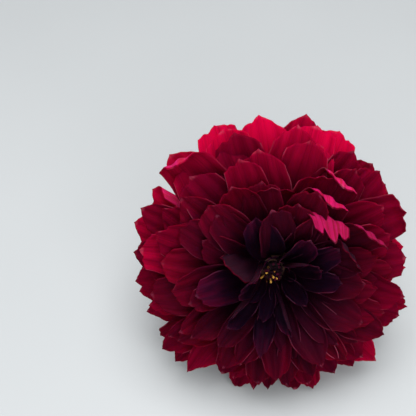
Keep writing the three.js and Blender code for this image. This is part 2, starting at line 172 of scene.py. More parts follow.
def petal_traits(k, zone):
    """Everything that sets the shape and the colour of petal k, in metres and radians."""
    rank = k / (PETAL_COUNT - 1)
    in_zone = (k - zone["first"]) / (zone["until"] - 1 - zone["first"])
    azimuth = k * GOLDEN_ANGLE + FIRST_AZIMUTH + radians(5) * wobble(k, 1)
    turned = {**UNTURNED, **TURNED_PETALS.get(k, {})}
    uneven = 1 + 1.2 * max(0, 1 - rank / UNEVEN_UNTIL)
    above = max(0, sin(azimuth)) * rank
    lower = max(0, -sin(azimuth))
    below = lower * rank
    corner = 2 * below * abs(cos(azimuth))
    leftward = max(0, -cos(azimuth)) ** 2 * rank
    shoulder = max(0, cos(azimuth - SHOULDER_AZIMUTH)) ** 4 * rank
    # How far a petal faces the side of painted light.
    lit_side = max(0, cos(azimuth - LIT_SIDE_AZIMUTH)) ** 2 * rank
    lift = WEIGHT_LIFT * below ** 2
    longer = 0.05 * wobble(k, 2) + 0.05 * above + 0.1 * corner - 0.12 * shoulder - 0.05 * leftward
    wider = 0.12 * wobble(k, 3) + 0.12 * above + 0.1 * shoulder - 0.1 * lower
    # Painted light and shade by side: darker lower, left and upper right, lighter at the lower corners and
    # upper left.
    painted_light_by_side = 0.9 - 0.5 * below + 0.35 * corner * rank + 0.3 * lit_side - 0.35 * leftward - 0.2 * shoulder
    rise_tip = at_rank(rank, "rise_tip") + 8 * uneven * wobble(k, 5) + turned["rise"]
    return dict(
        azimuth=azimuth + radians(turned["swing"]),
        root_radius=lerp(zone["root_radius"], in_zone) * MM,
        root_height=lerp(zone["root_height"], in_zone) * MM,
        length=at_rank(rank, "length") * (1 + longer) * turned["size"] * MM,
        width=at_rank(rank, "width") * (1 + wider) * turned["size"] * MM,
        rise_root=radians(at_rank(rank, "rise_root") + 3 * wobble(k, 4)) + 0.4 * lift,
        rise_tip=radians(rise_tip) + lift,
        hook=radians(8 * uneven * wobble(k, 11) + turned["hook"]),
        hook_start=turned["hook_start"],
        cup=radians(at_rank(rank, "cup") + 13 * wobble(k, 6) + 42 * lower + turned["cup"]),
        roll=radians(10 * uneven * wobble(k, 7) + turned["roll"]),
        twist=radians(16 * uneven * wobble(k, 8)),
        sway=0.07 * wobble(k, 9) + turned["sway"],
        curl=0.06 * wobble(k, 10),
        fold_left=radians(turned["fold_left"]),
        fold_right=radians(turned["fold_right"]),
        point=0.09 + 0.05 * lower + 0.04 * wobble(k, 13),
        notch=turned["notch"],
        narrowing=0.38 - 0.16 * sin(azimuth - radians(10)),
        clearance=(0.2 + 4 * (1 - rank)) * MM,
        # The redness holds the rank, a random tone and the painted light and shade by side.
        redness=rank * (painted_light_by_side + 0.34 * wobble(k, 14)) + turned["redness"],
        seed=turned.get("seed", wobble(k, 12) / 2 + 0.5),
    )


TRAITS = tuple(petal_traits(0, ZONES["petals_inner"]))
print("a petal has", len(TRAITS), "traits:", ", ".join(TRAITS))

# %% [markdown]
# Geometry Nodes can hold a formula, but wiring a long one by hand is slow to read. One helper adds a node
# and fills its inputs. A small class lets a formula be written as plain arithmetic: each operator adds one
# Math node and returns its output. Both work in geometry trees and in materials.


# %% Arithmetic that builds Math nodes
def fill_inputs(tree, node, inputs):
    """Links a field or a socket to each input of a node, or sets a plain value on it."""
    for label, value in inputs.items():
        value = value.socket if isinstance(value, Field) else value
        if isinstance(value, bpy.types.NodeSocket):
            tree.links.new(value, node.inputs[label])
        else:
            node.inputs[label].default_value = value


def add_node(tree, kind, inputs=None, **settings):
    """Adds a node, first with its settings and then with its inputs, and returns it."""
    node = tree.nodes.new(kind)
    for name, value in settings.items():
        setattr(node, name, value)
    fill_inputs(tree, node, inputs or {})
    return node


class Field:
    """A number that varies over a mesh or a surface: one output socket of a node tree."""

    def __init__(self, tree, socket):
        self.tree = tree
        self.socket = socket

    def math(self, operation, *others, clamped=False):
        values = dict(enumerate((self, *others)))
        node = add_node(self.tree, "ShaderNodeMath", values, operation=operation, use_clamp=clamped)
        return Field(self.tree, node.outputs[0])

    def __add__(self, other):
        return self.math("ADD", other)

    __radd__ = __add__

    def __sub__(self, other):
        return self.math("SUBTRACT", other)

    def __mul__(self, other):
        return self.math("MULTIPLY", other)

    __rmul__ = __mul__

    def __truediv__(self, other):
        return self.math("DIVIDE", other)

    def __pow__(self, other):
        return self.math("POWER", other)

    def __neg__(self):
        return self * -1.0

    def __rsub__(self, other):
        return -self + other

    def sin(self):
        return self.math("SINE")

    def cos(self):
        return self.math("COSINE")

    def abs(self):
        return self.math("ABSOLUTE")

    def sign(self):
        return self.math("SIGN")

    def exp(self):
        return self.math("EXPONENT")

    def root(self):
        return self.math("SQRT")

    def min(self, other):
        return self.math("MINIMUM", other)

    def max(self, other):
        return self.math("MAXIMUM", other)

    def ease(self, start, end):
        """0 below start, 1 above end, and a smooth step between them."""
        x = ((self - start) / (end - start)).math("ADD", 0.0, clamped=True)
        return x * x * (3 - 2 * x)


def join_xyz(tree, *values):
    """One vector socket from three fields or numbers."""
    return add_node(tree, "ShaderNodeCombineXYZ", dict(enumerate(values))).outputs[0]


def split_xyz(tree, vector):
    """The three numbers of a vector socket, as fields."""
    return [Field(tree, socket) for socket in add_node(tree, "ShaderNodeSeparateXYZ", {0: vector}).outputs]


print("formulas can be written as", Field.__name__, "arithmetic")

# %% [markdown]
# Three trees grow the flower's parts, and they share their beginning and their end. A tree has named inputs,
# so that one tree serves pieces of several sizes. It ends by making instances real and setting the
# material, because a model that leaves Blender keeps only real faces.


# %% What the geometry trees share
def open_tree(name, counts=(), sizes=()):
    """A new geometry tree with named inputs, and the sockets that give them."""
    tree = bpy.data.node_groups.new(name, "GeometryNodeTree")
    kinds = {"Geometry": "Geometry", **dict.fromkeys(counts, "Int"), **dict.fromkeys(sizes, "Float")}
    for label, kind in {**kinds, "Material": "Material"}.items():
        tree.interface.new_socket(label, in_out="INPUT", socket_type="NodeSocket" + kind)
    tree.interface.new_socket("Geometry", in_out="OUTPUT", socket_type="NodeSocketGeometry")
    return tree, tree.nodes.new("NodeGroupInput").outputs


def close_tree(tree, geometry, material):
    """Ends a tree with smooth faces, real geometry and the material."""
    smooth = add_node(tree, "GeometryNodeSetShadeSmooth", {"Geometry": geometry})
    realized = add_node(tree, "GeometryNodeRealizeInstances", {0: smooth.outputs[0]})
    finish = add_node(tree, "GeometryNodeSetMaterial", {
        "Geometry": realized.outputs[0], "Material": material})
    add_node(tree, "NodeGroupOutput", {"Geometry": finish.outputs[0]})
    print("the tree", tree.name, "has", len(tree.nodes), "nodes")


def named_field(tree, name):
    """The value of a named attribute of a mesh inside a geometry tree."""
    node = add_node(tree, "GeometryNodeInputNamedAttribute", {"Name": name}, data_type="FLOAT")
    return Field(tree, node.outputs["Attribute"])


def store(tree, geometry, name, value, kind="FLOAT", domain="POINT"):
    """Keeps a value on a geometry as a named attribute and returns the geometry's socket."""
    inputs = {"Geometry": geometry, "Name": name, "Value": value}
    return add_node(tree, "GeometryNodeStoreNamedAttribute", inputs, data_type=kind, domain=domain).outputs[0]


def copies_on_points(tree, points, template):
    """A real copy of a template on every point, which keeps that point's attributes."""
    instances = add_node(tree, "GeometryNodeInstanceOnPoints", {"Points": points, "Instance": template})
    return add_node(tree, "GeometryNodeRealizeInstances", {0: instances.outputs[0]}).outputs[0]


def move_to(tree, geometry, position):
    return add_node(tree, "GeometryNodeSetPosition", {"Geometry": geometry, "Position": position}).outputs[0]


def from_head(east, north, axial):
    """World x, y and z of a place in the head's own frame, for numbers and for fields alike."""
    x = east + HEAD_PLACE.x
    y = north * sin(FACE_TILT) - axial * cos(FACE_TILT) + HEAD_PLACE.y
    z = north * cos(FACE_TILT) + axial * sin(FACE_TILT) + HEAD_PLACE.z
    return x, y, z


def round_the_axis(radius, lateral, angle):
    """East and north of a place that is radius out along an angle and lateral to its left."""
    return radius * angle.cos() - lateral * angle.sin(), radius * angle.sin() + lateral * angle.cos()


print("the head's middle lies at", [round(v / MM, 1) for v in from_head(0, 0, 0)], "mm")

# %% [markdown]
# Petals and bracts are all blades: a narrow claw, a broad middle and an arched tip with a small point and
# a notch or two. One could be modelled by hand and copied, but no two on a real bloom are alike, so one
# tree grows them all. It sets a flat grid on every point of a plan mesh, then moves each grid point by a
# formula in three steps: the outline, the hollow cross-section, and the middle line that rises and bends
# over. The plan's points carry the traits of their blade as attributes.

# %% The three steps of a blade's formula
CLAW_WIDTH = 0.14
WIDEST_PLACE = 0.62
NOTCH_SPREAD = 0.12
FOLD_START = 0.3
FOLD_END = 0.65
FURROWS = 3
HOOK_REACH = 0.14
LINE_END = 1.2
# The arcs divide by their bend, and these keep it away from zero.
LEAST_BEND = 0.0005
LEAST_HOOK = 0.0007


def blade_outline(a, along, across):
    """How far up the middle line a grid point lies, and the blade's half width there."""
    # The end is an arch with a nib in its middle, a notch on one side or both, and a ragged edge.
    reach, side, seed = across.abs(), across.sign(), a["seed"]
    notch_place = 0.36 + 0.08 * (seed * 91 + side).sin()
    notch_depth = a["notch"] * ((seed * 73 + side * 2).sin() + 0.3).max(0)
    notch = notch_depth * (-(((reach - notch_place) / NOTCH_SPREAD) ** 2)).exp()
    nib = 0.022 * (reach * -7.0).exp()
    ragged = 0.004 * (reach * 17 + seed * 50 + side).sin() * reach.ease(0.2, 0.6)
    end = 1 - a["point"] * reach ** 1.9 - notch + nib - ragged
    place = along * (1 + (end - 1) * along.ease(0.45, 1))
    # The blade widens from its claw to its widest place and narrows again towards the end.
    widening = ((place / WIDEST_PLACE).min(1) * (pi / 2)).sin() ** 1.6
    narrowing = 1 - a["narrowing"] * place.ease(0.66, 1.06)
    wavy_edge = 1 + 0.02 * (place * 27 + seed * 40 + side * 2).sin() * place.ease(0.5, 0.8)
    half_width = a["width"] * 0.5 * (CLAW_WIDTH + (1 - CLAW_WIDTH) * widening) * narrowing * wavy_edge
    return place, half_width


def blade_section(a, place, across, half_width):
    """Sideways and upward shift of a point: three arcs, of which the middle one makes a fold."""
    reach, side, seed = across.abs(), across.sign(), a["seed"]
    cup = a["cup"] * (1.25 - 0.6 * place)
    fold = side.max(0) * a["fold_right"] + (-side).max(0) * a["fold_left"]
    crease = cup + fold * place.ease(0.25, 0.7) / (FOLD_END - FOLD_START)
    turn, sideways, upward = across * 0, across * 0, across * 0
    for start, stop, bend in ((0, FOLD_START, cup), (FOLD_START, FOLD_END, crease), (FOLD_END, 1, cup)):
        following = turn + bend * (reach.max(start).min(stop) - start)
        sideways = sideways + (following.sin() - turn.sin()) / bend
        upward = upward + (turn.cos() - following.cos()) / bend
        turn = following
    ruffle = 0.09 * reach * reach * (place * 11 + seed * 30 + side * 1.3).sin() * place.ease(0.3, 0.8)
    furrow = -0.045 * (reach * (FURROWS * pi)).cos() * place.ease(0.1, 0.4) * (1 - reach.ease(0.7, 1))
    return side * sideways * half_width, (upward + ruffle + furrow) * half_width


def blade_middle_line(a, place):
    """The middle line's distance out, its height and its rise: an arc, a tighter one, an arc."""
    bend = a["rise_tip"] - a["rise_root"] + LEAST_BEND
    hook_bend = bend + a["hook"] / HOOK_REACH + LEAST_HOOK
    hook_end = a["hook_start"] + HOOK_REACH
    arcs = ((0, a["hook_start"], bend), (a["hook_start"], hook_end, hook_bend), (hook_end, LINE_END, bend))
    rise, outward, height = a["rise_root"], place * 0, place * 0
    for start, stop, rate in arcs:
        following = rise + rate * (place.max(start).min(stop) - start)
        outward = outward + a["length"] * (following.sin() - rise.sin()) / rate
        height = height + a["length"] * (rise.cos() - following.cos()) / rate
        rise = following
    return outward, height, rise


def blade_point(tree, a, along, across):
    """Where a grid point of a blade goes, and its place up the blade."""
    place, half_width = blade_outline(a, along, across)
    sideways, upward = blade_section(a, place, across, half_width)
    outward, height, rise = blade_middle_line(a, place)
    turn = a["roll"] + a["twist"] * place
    lateral = sideways * turn.cos() - upward * turn.sin() + a["sway"] * a["length"] * place * place
    lift = sideways * turn.sin() + upward * turn.cos() + a["curl"] * a["length"] * place.ease(0.55, 1.1) ** 2
    radius = a["root_radius"] + outward - lift * rise.sin()
    axial = a["root_height"] + height + lift * rise.cos()
    x, y, z = from_head(*round_the_axis(radius, lateral, a["azimuth"]), axial)
    return join_xyz(tree, x, y, z.max(a["clearance"])), place


print("a blade widens up to", WIDEST_PLACE, "of its length, and its claw is", CLAW_WIDTH, "of its width")


# %% The tree that grows blades
MERGE_DISTANCE = 0.001 * MM
TIP_CROWDING = 1.25


def blade_tree():
    tree, given = open_tree("blade_grower", ("Points Along", "Points Across"), ("Thickness",))
    grid = add_node(tree, "GeometryNodeMeshGrid", {
        "Size X": 1, "Size Y": 2, "Vertices X": given["Points Along"], "Vertices Y": given["Points Across"]})
    grid_x, grid_y, _ = split_xyz(tree, tree.nodes.new("GeometryNodeInputPosition").outputs[0])
    crowded = 1 - (1 - (grid_x + 0.5)) ** TIP_CROWDING
    template = store(tree, grid.outputs["Mesh"], "along", crowded)
    template = store(tree, template, "across", grid_y)
    blades = copies_on_points(tree, given["Geometry"], template)

    a = {trait: named_field(tree, trait) for trait in TRAITS}
    across = named_field(tree, "across")
    position, place = blade_point(tree, a, named_field(tree, "along"), across)
    uv = join_xyz(tree, place, across * 0.5 + 0.5, 0.0)
    moved = store(tree, move_to(tree, blades, position), "blade_uv", uv, "FLOAT2", "CORNER")

    # The front is pushed out along its normals and the back is the grid turned round, so it closes.
    front = add_node(tree, "GeometryNodeExtrudeMesh", {
        "Mesh": store(tree, moved, "back", 0.0), "Individual": False, "Offset Scale": given["Thickness"]})
    back = add_node(tree, "GeometryNodeFlipFaces", {0: store(tree, moved, "back", 1.0)})
    both = tree.nodes.new("GeometryNodeJoinGeometry")
    for half in (back, front):
        tree.links.new(half.outputs[0], both.inputs[0])
    closed = add_node(tree, "GeometryNodeMergeByDistance", {
        "Geometry": both.outputs[0], "Distance": MERGE_DISTANCE})
    close_tree(tree, closed.outputs[0], given["Material"])
    return tree


blade_grower = blade_tree()

# %% [markdown]
# A modifier only promises a shape. Evaluating the object and copying the result gives a plain mesh, which
# is what a model that leaves Blender needs. The plan object is thrown away once its piece is grown.


# %% From a plan to a finished piece
def grow(name, tree, plan_mesh, settings):
    """Runs a tree on a plan mesh and returns the result as a plain object at the origin."""
    plan = bpy.data.objects.new(name + "_plan", plan_mesh)
    bpy.context.scene.collection.objects.link(plan)
    modifier = plan.modifiers.new(tree.name, "NODES")
    modifier.node_group = tree
    for item in tree.interface.items_tree:
        if item.in_out == "INPUT" and item.name in settings:
            modifier[item.identifier] = settings[item.name]
    evaluated = plan.evaluated_get(bpy.context.evaluated_depsgraph_get())
    mesh = bpy.data.meshes.new_from_object(evaluated)
    plan.modifiers.remove(modifier)
    bpy.data.objects.remove(plan)
    mesh.name = name
    piece = bpy.data.objects.new(name, mesh)
    bpy.context.scene.collection.objects.link(piece)
    return piece


def points_with_traits(name, rows):
    """A mesh of single points, one for each row, whose attributes are the row's traits."""
    mesh = bpy.data.meshes.new(name)
    mesh.from_pydata([(0, 0, 0)] * len(rows), [], [])
    for trait in rows[0]:
        attribute = mesh.attributes.new(trait, "FLOAT", "POINT")
        attribute.data.foreach_set("value", [row[trait] for row in rows])
    return mesh


def grow_blades(name, rows, grid, thickness, material):
    """One piece with a blade for each row of traits."""
    along, across = grid
    return grow(name, blade_grower, points_with_traits(name + "_rows", rows), {
        "Points Along": along, "Points Across": across, "Thickness": thickness, "Material": material})


def belongs(piece, node):
    """Hangs a finished piece on the flower and hides the CAD node that it stands for."""
    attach(piece, "root")
    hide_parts(node)
    faces = len(piece.data.polygons)
    print(piece.name, "has", faces, "faces and stands for", node)


print("plans turn into plain meshes through", grow.__name__)

# %% [markdown]
# Petal skin is velvety and almost without gloss. The colour deepens from crimson at the rim to near-black
# at the eye. Painted shade darkens every petal towards its root, along its furrows and in the hollow of a
# cupped one. Fine veins run along it, the thin edges get a paler rim of painted light, and the back is
# pinker. Painting this on a flat picture would need a layout of 144 petals. Nodes that read each petal's own
# traits and its place along the blade colour them all at once.


# %% Colour and bump in materials
def shader_tree(name):
    material = bpy.data.materials.new(name)
    material.use_nodes = True
    return material, material.node_tree, material.node_tree.nodes["Principled BSDF"]


def attribute_field(tree, name, channel=None):
    """A named attribute inside a material, or one channel of it."""
    node = add_node(tree, "ShaderNodeAttribute", attribute_name=name)
    if channel is None:
        return Field(tree, node.outputs["Fac"])
    return split_xyz(tree, node.outputs["Vector"])[channel]


def colour_ramp(tree, factor, stops):
    """A colour from a list of (place, colour) stops, from the lowest place to the highest."""
    node = add_node(tree, "ShaderNodeValToRGB", {0: factor})
    elements = node.color_ramp.elements
    elements[0].position = stops[0][0]
    elements[1].position = stops[-1][0]
    for place, _ in stops[1:-1]:
        elements.new(place)
    for element, (_, colour) in zip(elements, stops):
        element.color = (*colour, 1)
    return node.outputs[0]


def mix_colours(tree, factor, first, second):
    first, second = ((*c, 1) if isinstance(c, tuple) else c for c in (first, second))
    node = add_node(tree, "ShaderNodeMix", {"Factor": factor, "A": first, "B": second}, data_type="RGBA")
    return node.outputs["Result"]


def noise_field(tree, vector, scale=1.0, detail=2.0):
    noise = add_node(tree, "ShaderNodeTexNoise", {"Vector": vector, "Scale": scale, "Detail": detail})
    return Field(tree, noise.outputs["Fac"])


def object_place(tree):
    return tree.nodes.new("ShaderNodeTexCoord").outputs["Object"]


def streaks(tree, along_scale, across_scale, detail=3.0):
    """Noise drawn out along the blade, for veins and faint stripes."""
    along = attribute_field(tree, "blade_uv", 0) * along_scale
    across = attribute_field(tree, "blade_uv", 1) * across_scale
    return noise_field(tree, join_xyz(tree, along, across, attribute_field(tree, "seed") * 37), 1.0, detail)


def bump(tree, height, strength, distance):
    inputs = {"Strength": strength, "Distance": distance, "Height": height}
    return add_node(tree, "ShaderNodeBump", inputs).outputs[0]


print("a material can mix, ramp and streak its colours")

# %% [markdown]
# One function makes the materials of the three zones. Only the colours, the sheen and the gloss differ from
# zone to zone, and what stays the same all over a zone is set straight on the shader's sockets.

# %% Petal material
YOUNG_BACK = (0.020, 0.005, 0.011)
# The colour of the painted shade at petal roots and in hollows.
PAINTED_SHADE = (0.004, 0.0004, 0.003)
# How dark the veins and the painted furrow shade are, as a share of the front's second colour.
VEIN_AND_FURROW_SHADE = 0.25
THROUGH_LIGHT = (1.0, 0.08, 0.12)


def petal_material(name, front, back, rim, sheen, specular):
    """front is a list of (redness, colour) stops. back and rim are single colours."""
    material, tree, shader = shader_tree(name)
    up_petal = attribute_field(tree, "blade_uv", 0)
    across = (attribute_field(tree, "blade_uv", 1) * 2 - 1).abs()
    redness = attribute_field(tree, "redness")
    cupped = attribute_field(tree, "cup").ease(0.6, 1.3)
    behind = attribute_field(tree, "back").ease(0.7, 1)
    veins = streaks(tree, 2.2, 40) * 0.5 + streaks(tree, 1.6, 13) * 0.5
    mottle = streaks(tree, 3.0, 5, 2.0)

    # The front reddens as the redness rises, and towards the tip, which leaves painted shade at its root end.
    # A ripe back is pink with darker streaks.
    face = colour_ramp(tree, redness + 0.4 * (up_petal - 0.85) + 0.3 * (mottle - 0.5), front)
    red, green, blue = back
    flush = mix_colours(tree, veins.ease(0.42, 0.56), (red * 0.6, green, blue * 0.35), back)
    ripe_back = mix_colours(tree, redness.ease(0.14, 0.28), YOUNG_BACK, flush)
    both = mix_colours(tree, behind, face, ripe_back)

    # Veins are darker. Painted shade darkens the furrows, every petal's root and the hollow of a cupped one.
    furrow_shade = (across * (FURROWS * pi)).cos().ease(0.3, 1) * up_petal.ease(0.3, 0.6)
    furrow_shade = furrow_shade * mottle.ease(0.4, 0.6) * 0.3
    # The lines hold the veins and the painted shade of the furrows.
    lines = (veins.ease(0.46, 0.64) * 0.42).max(furrow_shade) * (1 - 0.7 * behind)
    _, second_colour = front[1]
    veined = mix_colours(tree, lines, both, tuple(c * VEIN_AND_FURROW_SHADE for c in second_colour))
    # Painted shade at the root, where the next petals cover it, and in the hollow of a cupped petal.
    root_and_hollow_shade = ((1 - up_petal.ease(0.38, 0.98)) * 0.85).max((1 - across.ease(0.1, 0.9)) * cupped * 0.5)
    shaded = mix_colours(tree, root_and_hollow_shade, veined, PAINTED_SHADE)

    # A paler rim colour is painted on the thin edge here and there, as painted light: the glow and glint of
    # the edge.
    edge = across.ease(0.955, 1.0).max(up_petal.ease(0.975, 1.0)) * mottle.ease(0.42, 0.65)
    colour = mix_colours(tree, edge * (cupped * 0.15 + 0.25), shaded, rim)
    fill_inputs(tree, shader, {
        "Base Color": colour,
        "Normal": bump(tree, veins + 0.4 * mottle, 0.5, 0.0006),
        "Roughness": 0.6,
        "Specular IOR Level": specular,
        "Sheen Weight": sheen,
        "Sheen Roughness": 0.4,
        "Sheen Tint": (*rim, 1),
        "Subsurface Weight": 0.3,
        "Subsurface Radius": THROUGH_LIGHT,
        "Subsurface Scale": 0.003,
    })
    return material


petal_finishes = {
    "petals_inner": petal_material(
        "petal_near_black", [(0.0, (0.003, 0.0006, 0.004)), (0.07, (0.008, 0.0009, 0.006)),
                             (0.14, (0.028, 0.0013, 0.010)), (0.22, (0.055, 0.0006, 0.011))],
        back=(0.032, 0.007, 0.016), rim=(0.07, 0.02, 0.04), sheen=0.04, specular=0.015),
    "petals_middle": petal_material(
        "petal_maroon", [(0.08, (0.027, 0.001, 0.0062)), (0.25, (0.054, 0.0004, 0.0065)),
                         (0.45, (0.110, 0.0003, 0.0085))],
        back=(0.46, 0.006, 0.090), rim=(0.16, 0.03, 0.06), sheen=0.015, specular=0.01),
    "petals_outer": petal_material(
        "petal_crimson", [(0.3, (0.065, 0.0003, 0.008)), (0.62, (0.125, 0.0003, 0.011)),
                          (1.0, (0.36, 0.0004, 0.026))],
        back=(0.50, 0.010, 0.098), rim=(0.36, 0.07, 0.12), sheen=0.008, specular=0.006),
}
print("petal finishes:", ", ".join(m.name for m in petal_finishes.values()))

# %% Grow the petals
PETAL_GRID = (24, 25)
PETAL_THICKNESS = 0.35 * MM
for node, zone in ZONES.items():
    rows = [petal_traits(k, zone) for k in range(zone["first"], zone["until"])]
    piece = grow_blades(node + "_fine", rows, PETAL_GRID, PETAL_THICKNESS, petal_finishes[node])
    belongs(piece, node)

# %% [markdown]
# The petals' claws grow out of the receptacle, the fleshy end of the stem. It is a body of revolution. A
# Screw modifier could turn its profile, but a loop over pairs of radius and height is as short, turns them
# round the tilted axis at once and can add ribs. The same helper makes the dome of the eye, the ring that
# the bracts grow from and the green base.


# %% Turned bodies
def in_head(radius, angle, height):
    """A point in the head's own frame, from its distance round the axis and its height along it."""
    return Vector(from_head(radius * cos(angle), radius * sin(angle), height))


def turned_mesh(name, profile, sides, ribs=0, rib_depth=0.0):
    """A closed body from (radius, height) pairs in millimetres, with shallow ribs if asked."""
    body = bmesh.new()
    rows = []
    for radius, height in profile:
        row = []
        for step in range(sides if radius > 0 else 1):
            angle = step * 2 * pi / sides
            ribbed = radius * (1 + rib_depth * cos(ribs * angle))
            row.append(body.verts.new(in_head(ribbed * MM, angle, height * MM)))
        rows.append(row)
    is_ring = profile[0][0] > 0
    pairs = list(zip(rows, rows[1:])) + ([(rows[-1], rows[0])] if is_ring else [])
    for lower, upper in pairs:
        for step in range(sides):
            following = (step + 1) % sides
            corners = [lower[step % len(lower)], lower[following % len(lower)],
                       upper[following % len(upper)], upper[step % len(upper)]]
            body.faces.new(dict.fromkeys(corners)).smooth = True
    bmesh.ops.recalc_face_normals(body, faces=body.faces)
    mesh = bpy.data.meshes.new(name)
    body.to_mesh(mesh)
    body.free()
    return mesh


print("bodies of revolution are turned round the head's axis")


# %% Joining a turned body to a piece, and its flesh
def add_body(piece, mesh, material):
    """Joins a turned body, in its own material, to a grown piece."""
    piece.data.materials.append(material)
    both = bmesh.new()
    both.from_mesh(piece.data)
    grown_faces = len(both.faces)
    both.from_mesh(mesh)
    both.faces.ensure_lookup_table()
    for face in both.faces[grown_faces:]:
        face.material_index = len(piece.data.materials) - 1
    both.to_mesh(piece.data)
    both.free()
    bpy.data.meshes.remove(mesh)


def flesh_material(name, low, high, scale, roughness):
    """Mottled plant flesh on Object coordinates."""
    material, tree, shader = shader_tree(name)
    mottle = noise_field(tree, object_place(tree), scale, 5)
    fill_inputs(tree, shader, {
        "Base Color": mix_colours(tree, mottle.ease(0.35, 0.65), low, high),
        "Normal": bump(tree, mottle, 0.4, 0.0004),
        "Roughness": roughness,
        "Specular IOR Level": 0.25,
    })
    return material


# %% The receptacle's tiers, one under each zone of petals
TIERS = {
    "petals_inner": [(0, 11.4), (7.4, 11.4), (7.2, 12.6), (6.2, 15.0), (0, 15.0)],
    "petals_middle": [(0, 6.9), (12.2, 6.9), (11.2, 9.2), (9.2, 11.1), (0, 11.1)],
    "petals_outer": [(0, -0.8), (15.0, -0.8), (14.6, 3.0), (12.8, 6.6), (0, 6.6)],
}
receptacle_flesh = flesh_material(
    "receptacle_flesh", (0.030, 0.012, 0.010), (0.075, 0.030, 0.020), scale=400, roughness=0.7)
for node, profile in TIERS.items():
    add_body(bpy.data.objects[node + "_fine"], turned_mesh(node + "_tier", profile, 48), receptacle_flesh)
print("the petals stand on", len(TIERS), "tiers")

# %% [markdown]
# The eye is a dome of disc florets: small dark tubes with five lobes, packed in the spiral that the petals
# follow too. Placing them by hand would show. The tree counts points along that spiral, sets a copy of one
# tube on each and leans it outwards, more so towards the edge. A few ripe florets carry yellow anthers,
# which come out of the same tree.

# %% The tree that grows florets
TUBE = {"Vertices": 10, "Side Segments": 5, "Radius": 1.0, "Depth": 1.0}
TUBE_LOBES = 5
EYE_CURVE = 75
FLORET_SIZES = ("Spacing", "Radius", "Length", "Flare", "Lean", "Crown", "Shift East", "Shift North", "Seed")


def floret_tree():
    tree, given = open_tree("floret_grower", ("Count",), FLORET_SIZES)
    size = {label: Field(tree, given[label]) for label in FLORET_SIZES}
    template = add_node(tree, "GeometryNodeMeshCylinder", TUBE, fill_type="TRIANGLE_FAN").outputs["Mesh"]
    x, y, z = split_xyz(tree, tree.nodes.new("GeometryNodeInputPosition").outputs[0])
    for name, value in (("tube_x", x), ("tube_y", y), ("up", z + 0.5)):
        template = store(tree, template, name, value)
    points = add_node(tree, "GeometryNodePoints", {"Count": given["Count"]}).outputs[0]
    index = tree.nodes.new("GeometryNodeInputIndex").outputs[0]
    tubes = copies_on_points(tree, store(tree, points, "number", index), template)

    number, up, tube_x, tube_y = (named_field(tree, name) for name in ("number", "up", "tube_x", "tube_y"))
    # Two numbers from 0 to 1 are drawn for each tube: one for its length, one for its lean and its colour.
    stretch, tone = (((number * factor + size["Seed"]).sin() * HASH_SCALE).math("FRACT")
                     for factor in (HASH_OF_NUMBER, HASH_OF_TRAIT))
    ring = size["Spacing"] * (number + 0.4).root()
    # A tube widens up to its mouth, where the lobes flare out and the middle of the cap is sunk.
    reach = (tube_x * tube_x + tube_y * tube_y).root()
    lobes = 0.5 + 0.5 * (tube_x.math("ARCTAN2", tube_y) * TUBE_LOBES).cos()
    wide = size["Radius"] * (0.55 + 0.45 * up.ease(0, 0.5) + size["Flare"] * lobes * up.ease(0.6, 1))
    height = size["Length"] * (0.6 + 0.6 * stretch) * (up - 0.45 * (1 - reach) * up.ease(0.9, 1))
    lean = size["Lean"] * number.root() * 0.2 + 0.5 * (tone - 0.5)
    outward = ring + tube_x * wide * lean.cos() + height * lean.sin()
    axial = size["Crown"] - ring * ring * EYE_CURVE - tube_x * wide * lean.sin() + height * lean.cos()
    east, north = round_the_axis(outward, tube_y * wide, number * GOLDEN_ANGLE)
    position = join_xyz(tree, *from_head(east + size["Shift East"], north + size["Shift North"], axial))
    toned = store(tree, move_to(tree, tubes, position), "tone", tone)
    close_tree(tree, toned, given["Material"])
    return tree


floret_grower = floret_tree()

# %% [markdown]
# Ripe anthers are powdery and yellow. The florets round them are nearly black, partly their own colour and
# partly painted shade, and so is the dome. Anthers and florets both get a fine grain and a colour that
# changes up the tube, and each tube has a tone of its own, so that no two look quite alike.


# %% The finishes of the eye
def eye_material(name, root, mouth, pale, roughness):
    """Colour runs from root to mouth up each tube, and some tubes are paler than the rest."""
    material, tree, shader = shader_tree(name)
    up, tone = attribute_field(tree, "up"), attribute_field(tree, "tone")
    tube = mix_colours(tree, up.ease(0.5, 1), root, mouth)
    fill_inputs(tree, shader, {
        "Base Color": mix_colours(tree, tone.ease(0.55, 0.95) * up, tube, pale),
        "Normal": bump(tree, noise_field(tree, object_place(tree), 2500), 0.5, 0.0002),
        "Roughness": roughness,
        "Specular IOR Level": 0.06,
    })
    return material


# The florets' near-black is partly their own colour and partly painted shade.
floret_finish = eye_material(
    "disc_floret", root=(0.002, 0.0006, 0.002), mouth=(0.007, 0.001, 0.004), pale=(0.07, 0.004, 0.02),
    roughness=0.7)
anther_finish = eye_material(
    "ripe_anther", root=(0.03, 0.007, 0.004), mouth=(0.28, 0.10, 0.010), pale=(0.62, 0.33, 0.06),
    roughness=0.6)
# The dome's near-black is partly its own colour and partly painted shade.
dome_flesh = flesh_material(
    "dome_flesh", (0.002, 0.0007, 0.002), (0.005, 0.001, 0.003), scale=900, roughness=0.8)
print("eye finishes:", ", ".join(m.name for m in (floret_finish, anther_finish, dome_flesh)))

